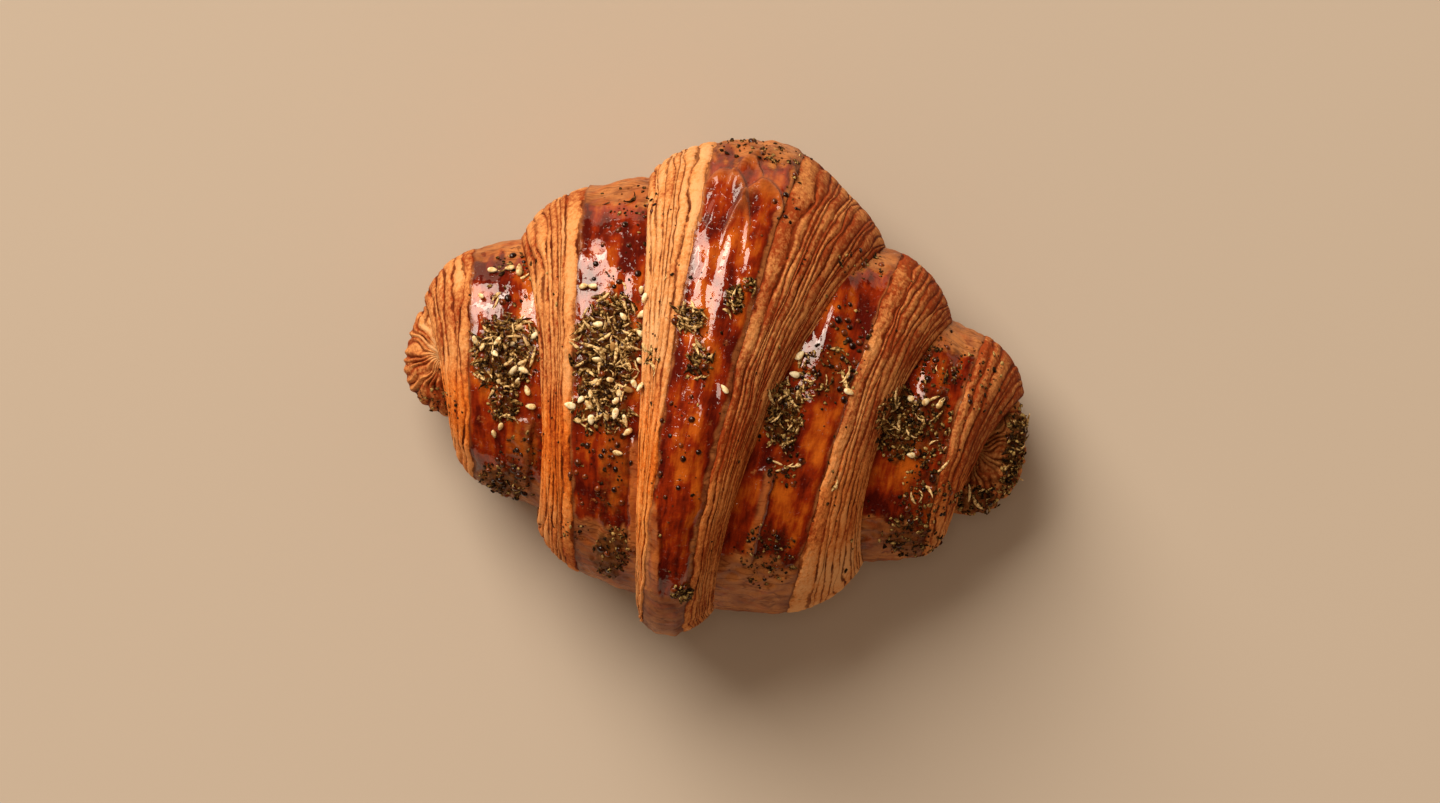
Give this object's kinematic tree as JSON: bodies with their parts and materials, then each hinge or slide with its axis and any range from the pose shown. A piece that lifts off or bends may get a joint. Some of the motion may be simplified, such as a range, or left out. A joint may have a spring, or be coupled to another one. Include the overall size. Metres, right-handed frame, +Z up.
{
  "type": "zaatar croissant",
  "caption": "Straight rolled croissant with stepped glazed bands, layered flanks and a topping of sesame seeds and dried herb flakes, resting on a flat underside.",
  "frame": {"origin": "middle of the overall box at the flat underside", "axes": "+X along the roll towards the tip with the darker herbs, +Y towards the back, where the widest turn opens, +Z up"},
  "size_m": [0.15, 0.1194, 0.076],
  "materials": {
    "glazed_crust": "egg-washed crust baked to a glossy red brown, matt and tan where the wash ends",
    "layered_flank": "cut sheets of baked dough, golden with brown grooves",
    "sesame": "toasted pale yellow seed with a slight sheen",
    "dried_herb": "dry dark olive leaf and stalk",
    "dark_crumb": "dark red-brown crumbs and small round seeds"
  },
  "bodies": {
    "root": {"croissant": "glazed_crust"}
  },
  "joints": []
}
